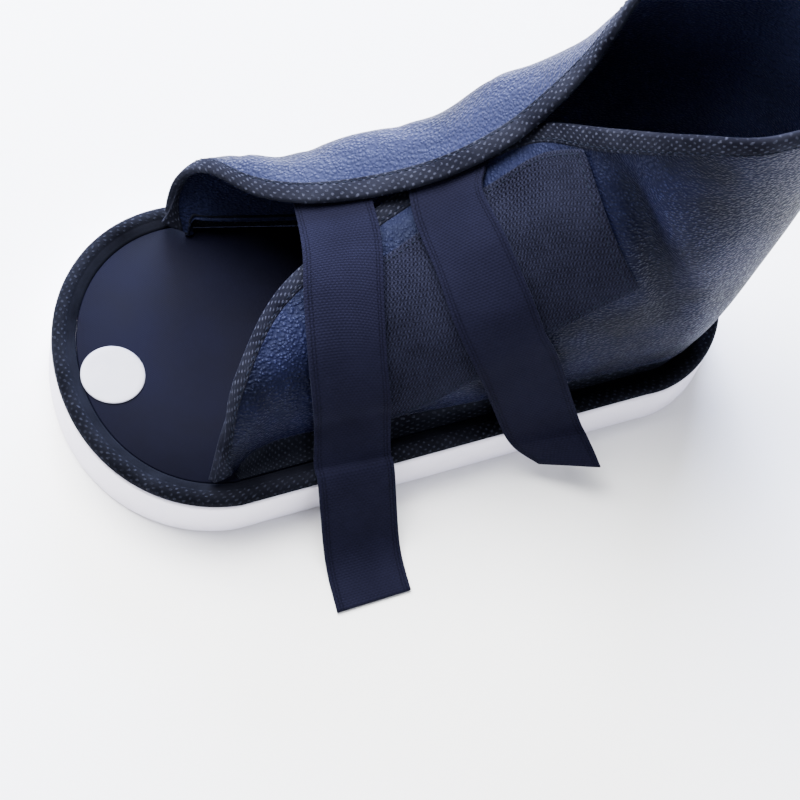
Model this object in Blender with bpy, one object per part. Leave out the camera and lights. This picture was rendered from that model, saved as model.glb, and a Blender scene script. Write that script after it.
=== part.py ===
"""Open-toed strap boot for a bandaged foot, right foot.

Metres, +Z up, toe toward -X, inner (big toe) side toward -Y. The origin is the middle of the sole's
underside. The leather wall is one sheet that stands on the insole, runs round the heel and ends in
two flaps that cross over the instep. It is drawn as a row of upright curves from toe, round the heel
and back to the toe, and everything sewn to it is laid out on the same curves.
"""
import math

import bmesh
import bpy
import numpy as np

# Sole
SOLE_LENGTH = 0.280
TOE_WIDTH = 0.136
HEEL_WIDTH = 0.093
TOE_ROUND = 0.061          # length of the rounded toe
HEEL_ROUND = 0.044         # length of the rounded heel
SOLE_THICKNESS = 0.022
SOLE_EDGE = 0.0016         # rounding of the foam's edges
INSOLE_THICKNESS = 0.0027
RIM_WIDTH = 0.0095         # tape round the insole
RIM_HEIGHT = 0.0052

# Leather wall
COLLAR_HEIGHT = 0.180      # collar above the insole, at the back
LEATHER = 0.0018
FOLD_DEPTH = 0.0035        # deepest crease in the leather
BINDING_WIDTH = 0.009      # tape along the top edge
BINDING_THICKNESS = 0.0038
PATCH_THICKNESS = 0.0012
PATCH_EASE = 0.0009         # slack of the patch over the folds

# Straps and label
STRAP_WIDTH = 0.0315
STRAP_THICKNESS = 0.0015
STRAP_EASE = 0.0008        # slack of the webbing over what it crosses
LABEL_RADIUS = 0.0127
LABEL_THICKNESS = 0.0005

CLEARANCE = 0.0003         # between pieces that touch
SEAM_GAP = 0.0007          # between the leather's cut edge and its tape, which turns sharply at the flaps

HALF_LENGTH = SOLE_LENGTH / 2
HALF_TOE = TOE_WIDTH / 2
HALF_HEEL = HEEL_WIDTH / 2
INSOLE_TOP = SOLE_THICKNESS + CLEARANCE + INSOLE_THICKNESS
SEAT = INSOLE_TOP + CLEARANCE
RIM_TOP = SOLE_THICKNESS + CLEARANCE + RIM_HEIGHT

# Upright curves of the leather wall, inner toe -> heel -> outer toe.
# foot_x: share of HALF_LENGTH; inset: foot's distance in from the sole's edge, in RIM_WIDTH
# edge_x: share of HALF_LENGTH; edge_y: share of HALF_TOE; edge_z: share of COLLAR_HEIGHT over the insole
# turn: degrees from the inner side to the direction in which the curve bulges
# low_out, high_out: bulge, share of HALF_TOE; low_up, high_drop: share of COLLAR_HEIGHT
WALL = (
    # foot_x, inset, edge_x, edge_y, edge_z, turn, low_out, low_up, high_out, high_drop
    (-0.557, 1.60, -0.640, -0.850, 0.015, 0, 0.03, 0.01, -0.01, 0.00),
    (-0.543, 1.90, -0.614, -0.735, 0.122, 0, 0.09, 0.07, 0.04, 0.04),
    (-0.500, 2.20, -0.550, -0.441, 0.217, 0, 0.13, 0.13, 0.24, 0.01),
    (-0.414, 2.30, -0.400, -0.029, 0.256, 0, 0.16, 0.18, 0.41, -0.01),
    (-0.286, 2.20, -0.157, 0.279, 0.289, 0, 0.18, 0.20, 0.50, -0.02),
    (-0.129, 1.95, 0.071, 0.471, 0.339, 0, 0.19, 0.22, 0.59, -0.04),
    (0.043, 1.75, 0.221, 0.485, 0.439, 0, 0.19, 0.24, 0.65, -0.04),
    (0.229, 1.55, 0.343, 0.412, 0.533, 0, 0.19, 0.27, 0.59, -0.02),
    (0.414, 1.40, 0.443, 0.044, 0.706, 0, 0.19, 0.28, 0.35, 0.11),
    (0.600, 1.30, 0.550, -0.309, 0.867, 10, 0.19, 0.27, 0.18, 0.22),
    (0.786, 1.20, 0.721, -0.529, 0.961, 38, 0.18, 0.24, 0.06, 0.28),
    (0.893, 1.15, 0.968, -0.440, 1.006, 64, 0.16, 0.20, 0.00, 0.31),
    (1.000, 1.15, 1.107, 0.000, 1.006, 90, 0.16, 0.18, -0.04, 0.31),
    (0.893, 1.15, 0.968, 0.470, 1.011, 116, 0.16, 0.20, 0.03, 0.31),
    (0.786, 1.20, 0.700, 0.647, 1.000, 140, 0.19, 0.26, 0.12, 0.28),
    (0.643, 1.30, 0.543, 0.559, 0.917, 164, 0.24, 0.32, 0.32, 0.20),
    (0.486, 1.40, 0.443, 0.441, 0.722, 176, 0.30, 0.36, 0.59, 0.09),
    (0.329, 1.50, 0.343, 0.382, 0.578, 180, 0.33, 0.36, 0.65, 0.00),
    (0.171, 1.60, 0.229, 0.324, 0.494, 180, 0.33, 0.31, 0.68, -0.04),
    (0.007, 1.70, 0.079, 0.324, 0.406, 180, 0.32, 0.27, 0.65, -0.04),
    (-0.171, 1.80, -0.093, 0.368, 0.339, 180, 0.31, 0.22, 0.59, -0.03),
    (-0.314, 1.90, -0.271, 0.440, 0.300, 180, 0.32, 0.20, 0.53, -0.02),
    (-0.414, 2.00, -0.400, 0.590, 0.262, 180, 0.34, 0.18, 0.44, -0.02),
    (-0.486, 2.00, -0.507, 0.820, 0.233, 180, 0.27, 0.13, 0.24, 0.01),
    (-0.529, 1.80, -0.571, 0.930, 0.155, 180, 0.15, 0.08, 0.06, 0.05),
    (-0.536, 1.60, -0.607, 0.882, 0.015, 180, 0.03, 0.01, -0.01, 0.00),
)
LAST_ROW = len(WALL) - 1
CURVE_STEPS = 60           # samples used to measure along one upright curve

# Ridges and creases of the leather, from one place on the wall to another.
# row, up: place on the wall's curves; reach: half width in shares of ROW_PITCH; rise: in FOLD_DEPTH
FOLDS = (
    # row_a, up_a, row_b, up_b, reach, rise
    (7.95, 0.86, 9.25, 0.44, 0.42, -1.00),
    (8.60, 0.86, 9.75, 0.52, 0.55, 0.70),
    (9.40, 0.84, 11.2, 0.60, 0.80, -0.40),
    (2.60, 0.82, 3.10, 0.45, 0.80, 0.35),
    (9.20, 0.20, 11.4, 0.22, 0.70, 0.30),
    (15.2, 0.80, 16.6, 0.45, 0.60, -0.60),
    (17.6, 0.80, 17.0, 0.40, 0.55, 0.60),
    (18.8, 0.85, 18.3, 0.45, 0.45, -0.60),
    (20.0, 0.80, 19.8, 0.40, 0.50, 0.55),
    (21.2, 0.80, 21.0, 0.45, 0.45, -0.45),
)
ROW_PITCH = SOLE_LENGTH / 14

# Corners of the loop patch on the inner side, as (row, up), and the hollow of its heel-side edge in rows
PATCH_LOW = ((5.05, 0.10), (8.80, 0.48))
PATCH_HIGH = ((4.25, 0.79), (7.60, 0.91))
PATCH_HOLLOW = 0.17

# Straps: places that each strap crosses on the wall, as (row, up, side of the leather)
FRONT_STRAP = ((20.68, 0.86, -1), (20.68, 0.985, -1), (3.84, 0.94, 1), (3.80, 0.75, 1), (3.86, 0.52, 1),
               (4.05, 0.30, 1), (4.20, 0.17, 1))
REAR_STRAP = ((18.90, 0.86, -1), (18.95, 0.985, -1), (5.31, 0.83, 1), (5.68, 0.66, 1), (6.22, 0.48, 1),
              (6.69, 0.345, 1), (7.10, 0.235, 1))
# and the free end: beyond the sole's edge and shift toward the heel (shares of STRAP_WIDTH), height
# (1 over the rim, 0 on the floor), swing and roll of the webbing's width, tuck of its toe-side edge
FRONT_END = (
    (-0.13, 0.01, 1.06, -0.04, 0.00, 0.00),
    (0.05, 0.02, 1.01, -0.06, 0.00, 0.00),
    (0.36, 0.03, 0.64, -0.08, 0.00, 0.00),
    (0.70, 0.05, 0.18, -0.10, 0.00, 0.00),
    (1.00, 0.06, 0.01, -0.13, 0.00, 0.00),
    (1.42, 0.07, 0.00, -0.14, 0.00, 0.00),
)
REAR_END = (
    (0.03, 0.39, 1.03, 0.02, 0.12, 0.00),
    (0.18, 0.50, 0.80, 0.12, 0.20, 0.03),
    (0.30, 0.60, 0.62, 0.26, 0.28, 0.10),
    (0.41, 0.69, 0.47, 0.42, 0.35, 0.20),
)
STRAP_COLUMNS = (-0.5, -0.25, 0.0, 0.25, 0.5)

LABEL_PLACE = (-0.842, -0.075)     # shares of HALF_LENGTH and HALF_TOE

NAVY_LEATHER = (0.038, 0.046, 0.098)
BLACK_TAPE = (0.016, 0.018, 0.036)
NAVY_WEBBING = (0.020, 0.026, 0.062)


def spline(table, place):
    """Smooth curve through a table's rows, read at one or many places."""
    table, place = np.asarray(table, float), np.asarray(place, float)
    last = len(table) - 1
    low = np.clip(place.astype(int), 0, last - 1)
    part = (place - low)[..., None]
    before, here, after, beyond = (table[np.clip(low + step, 0, last)] for step in (-1, 0, 1, 2))
    before = np.where((low == 0)[..., None], 2 * here - after, before)
    beyond = np.where((low == last - 1)[..., None], 2 * after - here, beyond)
    return here + 0.5 * part * ((after - before) + part * (2 * before - 5 * here + 4 * after - beyond
                                + part * (3 * here - 3 * after + beyond - before)))


def half_width(x, inset):
    """Half width of the sole's outline, drawn in by inset."""
    x = np.asarray(x, float)
    toe_end, heel_end = -HALF_LENGTH + TOE_ROUND, HALF_LENGTH - HEEL_ROUND
    taper = np.clip((x - toe_end) / (heel_end - toe_end), 0, 1)
    width = HALF_TOE + (HALF_HEEL - HALF_TOE) * taper - inset
    toe = np.clip((toe_end - x) / (TOE_ROUND - inset), 0, 1)
    heel = np.clip((x - heel_end) / (HEEL_ROUND - inset), 0, 1)
    return width * (1 - toe**2.07) ** (1 / 2.07) * (1 - heel**1.86) ** (1 / 1.86)


def outline(inset, side_points=44):
    """Closed outline of the sole, drawn in by inset, anticlockwise from the heel."""
    half = HALF_LENGTH - inset
    x = half * np.cos(np.linspace(0, math.pi, side_points + 1))
    y = half_width(x, inset)
    y[0] = y[-1] = 0
    return np.concatenate([np.stack([x, y], 1), np.stack([x, -y], 1)[-2:0:-1]])


def fold_height(row, up):
    """How far the leather stands out of its smooth curve."""
    height = np.zeros(np.shape(row))
    for row_a, up_a, row_b, up_b, reach, rise in FOLDS:
        scale = COLLAR_HEIGHT / ROW_PITCH * 0.6
        run = np.array([row_b - row_a, (up_b - up_a) * scale])
        dx, dy = row - row_a, (up - up_a) * scale
        along = np.clip((dx * run[0] + dy * run[1]) / (run @ run), 0, 1)
        away = np.hypot(dx - along * run[0], dy - along * run[1]) / reach
        height += FOLD_DEPTH * rise * np.exp(-away**2) * np.sin(math.pi * (0.12 + 0.76 * along))
    return height * np.clip(up * 8, 0, 1) * np.clip((1 - up) * 8, 0, 1)


def smooth_wall(row, up):
    """Middle of the leather without folds, on the upright curve at row."""
    foot_x, inset, edge_x, edge_y, edge_z, turn, low_out, low_up, high_out, high_drop = np.moveaxis(
        spline(WALL, row), -1, 0)
    side = np.where(np.asarray(row) <= (LAST_ROW - 1) / 2, -1, 1)
    inset = inset * RIM_WIDTH
    foot_x = np.where(foot_x > 0, foot_x * (HALF_LENGTH - inset), foot_x * HALF_LENGTH)
    foot = np.stack([foot_x, side * half_width(foot_x, inset), np.full(foot_x.shape, SEAT)], -1)
    edge = np.stack([edge_x * HALF_LENGTH, edge_y * HALF_TOE, SEAT + edge_z * COLLAR_HEIGHT], -1)
    turn = np.radians(turn)
    out = np.stack([np.sin(turn), -np.cos(turn), 0 * turn], -1) * HALF_TOE
    rise = np.array([0, 0, COLLAR_HEIGHT])
    low = foot + out * low_out[..., None] + rise * low_up[..., None]
    high = edge + out * high_out[..., None] - rise * high_drop[..., None]
    up = np.asarray(up, float)[..., None]
    return (1 - up)**3 * foot + 3 * (1 - up)**2 * up * low + 3 * (1 - up) * up**2 * high + up**3 * edge


def wall_normal(surface, row, up):
    """Outward unit normal of a surface given by rows and up."""
    step = 0.01
    row_a, row_b = np.clip(row - step, 0, LAST_ROW), np.clip(row + step, 0, LAST_ROW)
    up_a, up_b = np.clip(up - step, 0, 1), np.clip(up + step, 0, 1)
    normal = np.cross(surface(row_b, up) - surface(row_a, up), surface(row, up_b) - surface(row, up_a))
    return normal / np.linalg.norm(normal, axis=-1, keepdims=True)


def wall(row, up):
    """Middle of the leather with its folds."""
    row, up = np.broadcast_arrays(np.asarray(row, float), np.asarray(up, float))
    return smooth_wall(row, up) + wall_normal(smooth_wall, row, up) * fold_height(row, up)[..., None]


def up_below_edge(row, distance):
    """The up of the point that lies a distance below the wall's top edge, for each row."""
    ups = np.linspace(1, 0, CURVE_STEPS)
    found = []
    for one_row, one_distance in zip(row, distance):
        points = wall(np.full(CURVE_STEPS, one_row), ups)
        length = np.concatenate([[0], np.cumsum(np.linalg.norm(np.diff(points, axis=0), axis=1))])
        found.append(np.interp(one_distance, length, ups))
    return np.array(found)


def add_body(name, verts, faces, colour, roughness):
    """One closed, smooth-shaded object with a material of its own."""
    mesh = bpy.data.meshes.new(name)
    work = bmesh.new()
    points = [work.verts.new(tuple(v)) for v in verts]
    for face in faces:
        work.faces.new([points[i] for i in face])
    bmesh.ops.recalc_face_normals(work, faces=work.faces)
    work.to_mesh(mesh)
    work.free()
    mesh.shade_smooth()
    mesh.set_sharp_from_angle(angle=math.radians(40))
    material = bpy.data.materials.new(name)
    material.use_nodes = True
    shader = material.node_tree.nodes["Principled BSDF"]
    shader.inputs["Base Color"].default_value = (*colour, 1)
    shader.inputs["Roughness"].default_value = roughness
    shader.inputs["Metallic"].default_value = 0
    mesh.materials.append(material)
    body = bpy.data.objects.new(name, mesh)
    bpy.context.collection.objects.link(body)
    return body


def stack_loops(name, loops, colour, roughness, ring=False):
    """Solid through closed loops of points, capped flat, or closed on itself as a ring."""
    count = len(loops[0])
    faces = []
    for level in range(len(loops) if ring else len(loops) - 1):
        a, b = level * count, (level + 1) % len(loops) * count
        faces += [(a + i, a + (i + 1) % count, b + (i + 1) % count, b + i) for i in range(count)]
    if not ring:
        faces += [tuple(range(count - 1, -1, -1)), tuple(range((len(loops) - 1) * count, len(loops) * count))]
    return add_body(name, np.concatenate(loops), faces, colour, roughness)


def plate(name, profile, colour, roughness, ring=False):
    """Solid whose outlines follow the sole, from (inset, height) pairs."""
    loops = []
    for inset, height in profile:
        flat = outline(inset)
        loops.append(np.column_stack([flat, np.full(len(flat), height)]))
    return stack_loops(name, loops, colour, roughness, ring)


def sheet(name, middle, normal, half_thickness, colour, roughness, floor=None):
    """Closed sheet round a grid of middle points; half_thickness is given per column."""
    rows, columns = middle.shape[:2]
    reach = normal * np.asarray(half_thickness).reshape(1, -1, 1)
    outer, inner = middle + reach, middle - reach
    if floor is not None:
        for side in (outer, inner):
            side[..., 2] = np.maximum(side[..., 2], floor)
    verts = np.concatenate([outer.reshape(-1, 3), inner.reshape(-1, 3)])
    back = rows * columns
    faces = []
    for i in range(rows - 1):
        for j in range(columns - 1):
            a = i * columns + j
            quad = (a, a + columns, a + columns + 1, a + 1)
            faces += [quad, tuple(back + k for k in reversed(quad))]
    rim = [i * columns for i in range(rows)] + [(rows - 1) * columns + j for j in range(1, columns)]
    rim += [i * columns + columns - 1 for i in range(rows - 2, -1, -1)] + list(range(columns - 2, 0, -1))
    faces += [(a, back + a, back + b, b) for a, b in zip(rim, rim[1:] + rim[:1])]
    return add_body(name, verts, faces, colour, roughness)


def wall_sheet(name, rows, low, high, columns, half_thickness, lift, colour, roughness):
    """Sheet that follows the wall between two lines of up, lifted off the leather's middle."""
    share = np.linspace(0, 1, columns)
    row = np.repeat(rows[:, None], columns, 1)
    up = low[:, None] + (high - low)[:, None] * share
    normal = wall_normal(wall, row, up)
    return sheet(name, wall(row, up) + normal * lift, normal, half_thickness, colour, roughness, SEAT)


def make_sole():
    """Foam sole, insole and the tape that rounds the insole's edge."""
    plate("outsole", [(SOLE_EDGE, 0), (0, SOLE_EDGE), (0, SOLE_THICKNESS - SOLE_EDGE),
                      (SOLE_EDGE, SOLE_THICKNESS)], (0.78, 0.76, 0.86), 0.75)
    base = SOLE_THICKNESS + CLEARANCE
    plate("insole", [(RIM_WIDTH + CLEARANCE, base), (RIM_WIDTH + CLEARANCE, INSOLE_TOP)],
          (0.022, 0.028, 0.055), 0.6)
    section = ((0.10, 0.00), (0.00, 0.35), (0.08, 0.80), (0.30, 1.00), (0.58, 0.92), (0.80, 0.66),
               (1.00, 0.50), (1.00, 0.00))
    plate("rim_binding", [(a * RIM_WIDTH, base + b * RIM_HEIGHT) for a, b in section], BLACK_TAPE, 0.8,
          ring=True)


def make_upper():
    """Leather wall, the tape on its top edge and the loop patch on its inner side."""
    rows = np.linspace(0, LAST_ROW, 3 * LAST_ROW + 1)
    width = np.full(len(rows), BINDING_WIDTH)
    wall_sheet("upper", rows, np.zeros(len(rows)), up_below_edge(rows, width + SEAM_GAP), 14,
               np.full(14, LEATHER / 2), 0, NAVY_LEATHER, 0.45)
    section = BINDING_THICKNESS / 2 * np.array([0.62, 1.0, 1.0, 0.55])
    wall_sheet("edge_binding", rows, up_below_edge(rows, width), np.ones(len(rows)), 4, section, 0,
               BLACK_TAPE, 0.8)

    across, upward = np.meshgrid(np.linspace(0, 1, 17), np.linspace(0, 1, 11), indexing="ij")
    low_a, low_b, high_a, high_b = (np.array(p) for p in PATCH_LOW + PATCH_HIGH)
    low = low_a + (low_b - low_a) * across[..., None]
    high = high_a + (high_b - high_a) * across[..., None]
    place = low + (high - low) * upward[..., None]
    place[..., 0] -= PATCH_HOLLOW * across * np.sin(math.pi * upward)
    normal = wall_normal(wall, place[..., 0], place[..., 1])
    lift = LEATHER / 2 + CLEARANCE + PATCH_EASE + PATCH_THICKNESS / 2
    sheet("loop_patch", wall(place[..., 0], place[..., 1]) + normal * lift, normal,
          np.full(11, PATCH_THICKNESS / 2), (0.030, 0.034, 0.060), 0.9)


def strap_columns(places, away):
    """Points across a strap where it crosses the wall, one row of columns per place."""
    row, up, side = np.array(places).T
    step = 0.02
    side = side[:, None]
    centre = smooth_wall(row, up) + wall_normal(smooth_wall, row, up) * side * away[:, None]
    by_row = (smooth_wall(row + step, up) - smooth_wall(row - step, up)) / (2 * step)
    by_up = (smooth_wall(row, up + step) - smooth_wall(row, up - step)) / (2 * step)
    along = np.gradient(centre, axis=0)
    normal = wall_normal(smooth_wall, row, up)
    across = np.cross(normal, along)
    across /= np.linalg.norm(across, axis=1, keepdims=True)
    columns = []
    for share in STRAP_COLUMNS:
        moved = []
        for i, reach in enumerate(across * share * STRAP_WIDTH):
            basis = np.stack([by_row[i], by_up[i]], 1)
            d_row, d_up = np.linalg.lstsq(basis, reach, rcond=None)[0]
            moved.append((row[i] + d_row, up[i] + d_up))
        moved = np.array(moved)
        inside = np.minimum(moved[:, 1], 1)
        columns.append(smooth_wall(moved[:, 0], moved[:, 1])
                       + wall_normal(smooth_wall, moved[:, 0], inside) * side * away[:, None])
    return np.stack(columns, 1)


def make_strap(name, places, ways):
    """Webbing strap: out from under the outer flap, over the wall, across the rim, to a free end."""
    under = BINDING_THICKNESS / 2 + CLEARANCE + STRAP_THICKNESS / 2 + STRAP_EASE
    above = max(under, LEATHER / 2 + PATCH_THICKNESS + 2 * CLEARANCE + PATCH_EASE + STRAP_THICKNESS / 2 + STRAP_EASE)
    columns = strap_columns(places, np.where(np.array(places)[:, 2] > 0, above, under))
    last = columns[-1].mean(0)
    rim_y = -float(half_width(last[0], 0))
    over = RIM_TOP + CLEARANCE + STRAP_THICKNESS / 2
    ground = STRAP_THICKNESS / 2
    rows = list(columns)
    for beyond, shift, height, swing, roll, tuck in ways:
        y = rim_y - beyond * STRAP_WIDTH
        middle = np.array([last[0] + shift * STRAP_WIDTH, y, ground + (over - ground) * height])
        aim = np.array([1, -swing, roll]) / math.hypot(1, swing, roll)
        share = 0.5 - (0.5 - np.array(STRAP_COLUMNS)) * (1 - tuck)
        rows.append(middle + aim * share[:, None] * STRAP_WIDTH)
    rows = np.array(rows)
    place = np.linspace(0, len(rows) - 1, 4 * (len(rows) - 1) + 1)
    middle = spline(rows.reshape(len(rows), -1), place).reshape(len(place), -1, 3)
    normal = np.cross(np.gradient(middle, axis=1), np.gradient(middle, axis=0))
    normal /= np.linalg.norm(normal, axis=2, keepdims=True)
    return sheet(name, middle, normal, np.full(len(STRAP_COLUMNS), STRAP_THICKNESS / 2), NAVY_WEBBING, 0.7, floor=0.0)


def make_label():
    """Plain round size label on the insole, near the toe."""
    turns = np.linspace(0, 2 * math.pi, 48, endpoint=False)
    centre = np.array([LABEL_PLACE[0] * HALF_LENGTH, LABEL_PLACE[1] * HALF_TOE])
    ring = centre + LABEL_RADIUS * np.stack([np.cos(turns), np.sin(turns)], 1)
    loops = [np.column_stack([ring, np.full(48, z)]) for z in (SEAT, SEAT + LABEL_THICKNESS)]
    stack_loops("size_label", loops, (0.85, 0.85, 0.86), 0.4)


def main():
    """Build the boot in an empty scene."""
    for old in list(bpy.data.objects):
        bpy.data.objects.remove(old, do_unlink=True)
    make_sole()
    make_upper()
    make_strap("front_strap", FRONT_STRAP, FRONT_END)
    make_strap("rear_strap", REAR_STRAP, REAR_END)
    make_label()


main()
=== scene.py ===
"""Open-toed strap boot, right side, dressed on its solids.

Metres, +Z up, toe toward -X, inner side toward -Y, sole's underside at Z = 0. The leather wall is one
surface of two parameters: row runs from the inner flap round the heel to the outer flap, and up runs
from the insole to the bound edge. Tapes, patch, straps and stitches are laid out on that surface.
"""
import logging
from dataclasses import dataclass, field
from enum import Enum

import bpy
import numpy as np
from mathutils import Matrix


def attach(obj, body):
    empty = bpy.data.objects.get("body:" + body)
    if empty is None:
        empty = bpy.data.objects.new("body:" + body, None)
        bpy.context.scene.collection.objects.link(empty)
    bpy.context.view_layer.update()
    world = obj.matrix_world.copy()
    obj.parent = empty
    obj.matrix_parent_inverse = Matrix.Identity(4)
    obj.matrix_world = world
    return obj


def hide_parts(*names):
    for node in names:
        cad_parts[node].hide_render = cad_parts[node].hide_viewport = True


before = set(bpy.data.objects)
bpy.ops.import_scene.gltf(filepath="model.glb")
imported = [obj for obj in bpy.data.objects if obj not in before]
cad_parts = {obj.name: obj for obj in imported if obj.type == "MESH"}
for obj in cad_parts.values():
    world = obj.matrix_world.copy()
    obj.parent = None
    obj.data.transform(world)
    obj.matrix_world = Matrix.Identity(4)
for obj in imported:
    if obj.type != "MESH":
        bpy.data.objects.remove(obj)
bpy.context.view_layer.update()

log = logging.getLogger("boot")
Array = np.ndarray
Colour = tuple[float, float, float]


# Shape tables, the same numbers as the solids

# base_x, inset, edge_x, edge_y, edge_z, turn, low_out, low_up, high_out, high_drop
WALL = np.array((
    (-0.557, 1.60, -0.640, -0.850, 0.015, 0, 0.03, 0.01, -0.01, 0.00),
    (-0.543, 1.90, -0.614, -0.735, 0.122, 0, 0.09, 0.07, 0.04, 0.04),
    (-0.500, 2.20, -0.550, -0.441, 0.217, 0, 0.13, 0.13, 0.24, 0.01),
    (-0.414, 2.30, -0.400, -0.029, 0.256, 0, 0.16, 0.18, 0.41, -0.01),
    (-0.286, 2.20, -0.157, 0.279, 0.289, 0, 0.18, 0.20, 0.50, -0.02),
    (-0.129, 1.95, 0.071, 0.471, 0.339, 0, 0.19, 0.22, 0.59, -0.04),
    (0.043, 1.75, 0.221, 0.485, 0.439, 0, 0.19, 0.24, 0.65, -0.04),
    (0.229, 1.55, 0.343, 0.412, 0.533, 0, 0.19, 0.27, 0.59, -0.02),
    (0.414, 1.40, 0.443, 0.044, 0.706, 0, 0.19, 0.28, 0.35, 0.11),
    (0.600, 1.30, 0.550, -0.309, 0.867, 10, 0.19, 0.27, 0.18, 0.22),
    (0.786, 1.20, 0.721, -0.529, 0.961, 38, 0.18, 0.24, 0.06, 0.28),
    (0.893, 1.15, 0.968, -0.440, 1.006, 64, 0.16, 0.20, 0.00, 0.31),
    (1.000, 1.15, 1.107, 0.000, 1.006, 90, 0.16, 0.18, -0.04, 0.31),
    (0.893, 1.15, 0.968, 0.470, 1.011, 116, 0.16, 0.20, 0.03, 0.31),
    (0.786, 1.20, 0.700, 0.647, 1.000, 140, 0.19, 0.26, 0.12, 0.28),
    (0.643, 1.30, 0.543, 0.559, 0.917, 164, 0.24, 0.32, 0.32, 0.20),
    (0.486, 1.40, 0.443, 0.441, 0.722, 176, 0.30, 0.36, 0.59, 0.09),
    (0.329, 1.50, 0.343, 0.382, 0.578, 180, 0.33, 0.36, 0.65, 0.00),
    (0.171, 1.60, 0.229, 0.324, 0.494, 180, 0.33, 0.31, 0.68, -0.04),
    (0.007, 1.70, 0.079, 0.324, 0.406, 180, 0.32, 0.27, 0.65, -0.04),
    (-0.171, 1.80, -0.093, 0.368, 0.339, 180, 0.31, 0.22, 0.59, -0.03),
    (-0.314, 1.90, -0.271, 0.440, 0.300, 180, 0.32, 0.20, 0.53, -0.02),
    (-0.414, 2.00, -0.400, 0.590, 0.262, 180, 0.34, 0.18, 0.44, -0.02),
    (-0.486, 2.00, -0.507, 0.820, 0.233, 180, 0.27, 0.13, 0.24, 0.01),
    (-0.529, 1.80, -0.571, 0.930, 0.155, 180, 0.15, 0.08, 0.06, 0.05),
    (-0.536, 1.60, -0.607, 0.882, 0.015, 180, 0.03, 0.01, -0.01, 0.00),
))

# row_a, up_a, row_b, up_b, reach, rise
FOLDS = np.array((
    (7.95, 0.86, 9.25, 0.44, 0.42, -1.00),
    (8.60, 0.86, 9.75, 0.52, 0.55, 0.70),
    (9.40, 0.84, 11.2, 0.60, 0.80, -0.40),
    (2.60, 0.82, 3.10, 0.45, 0.80, 0.35),
    (9.20, 0.20, 11.4, 0.22, 0.70, 0.30),
    (15.2, 0.80, 16.6, 0.45, 0.60, -0.60),
    (17.6, 0.80, 17.0, 0.40, 0.55, 0.60),
    (18.8, 0.85, 18.3, 0.45, 0.45, -0.60),
    (20.0, 0.80, 19.8, 0.40, 0.50, 0.55),
    (21.2, 0.80, 21.0, 0.45, 0.45, -0.45),
))

# Fine creases that only the finished leather has, same columns
CREASES = np.array((
    (8.05, 0.86, 9.45, 0.38, 0.24, -0.95),
    (8.55, 0.86, 9.95, 0.42, 0.24, 0.45),
    (7.72, 0.86, 9.08, 0.40, 0.17, 0.42),
    (8.25, 0.80, 8.95, 0.58, 0.13, -0.22),
    (8.75, 0.70, 9.40, 0.50, 0.14, -0.20),
    (9.60, 0.55, 10.4, 0.35, 0.20, -0.14),
    (2.10, 0.75, 2.55, 0.40, 0.16, -0.16),
    (3.05, 0.60, 3.30, 0.25, 0.14, -0.14),
    (5.60, 0.14, 7.20, 0.26, 0.16, 0.16),
    (8.40, 0.30, 9.60, 0.30, 0.22, -0.16),
    (17.2, 0.70, 17.9, 0.50, 0.18, -0.18),
    (19.3, 0.75, 19.1, 0.50, 0.16, -0.20),
    (20.6, 0.72, 20.5, 0.50, 0.15, -0.16),
    (22.1, 0.70, 21.8, 0.45, 0.16, -0.18),
    (13.5, 0.70, 14.6, 0.40, 0.30, -0.20),
))

# row, up, side of the leather
FRONT_STRAP = np.array((
    (20.68, 0.86, -1), (20.68, 0.985, -1), (3.84, 0.94, 1), (3.80, 0.75, 1), (3.86, 0.52, 1),
    (4.05, 0.30, 1), (4.20, 0.17, 1)))
REAR_STRAP = np.array((
    (18.90, 0.86, -1), (18.95, 0.985, -1), (5.31, 0.83, 1), (5.68, 0.66, 1), (6.22, 0.48, 1),
    (6.69, 0.345, 1), (7.10, 0.235, 1)))
# beyond the sole's edge, shift toward the heel, height, swing, roll, tuck
FRONT_END = np.array((
    (-0.13, 0.01, 1.06, -0.04, 0.00, 0.00),
    (0.05, 0.02, 1.01, -0.06, 0.00, 0.00),
    (0.36, 0.03, 0.64, -0.08, 0.00, 0.00),
    (0.70, 0.05, 0.18, -0.10, 0.00, 0.00),
    (1.00, 0.06, 0.01, -0.13, 0.00, 0.00),
    (1.42, 0.07, 0.00, -0.14, 0.00, 0.00),
))
REAR_END = np.array((
    (0.03, 0.39, 1.03, 0.02, 0.12, 0.00),
    (0.18, 0.50, 0.80, 0.12, 0.20, 0.03),
    (0.30, 0.60, 0.62, 0.26, 0.28, 0.10),
    (0.41, 0.69, 0.47, 0.42, 0.35, 0.20),
))

# Patch corners as row and up: low toe side, low heel side, high toe side, high heel side
PATCH = np.array(((4.75, 0.055), (8.80, 0.48), (3.95, 0.78), (7.60, 0.91)))
PATCH_HOLLOW = 0.17

# Label's middle, shares of half the length and half the toe's width
LABEL_PLACE = (-0.842, -0.075)


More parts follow.
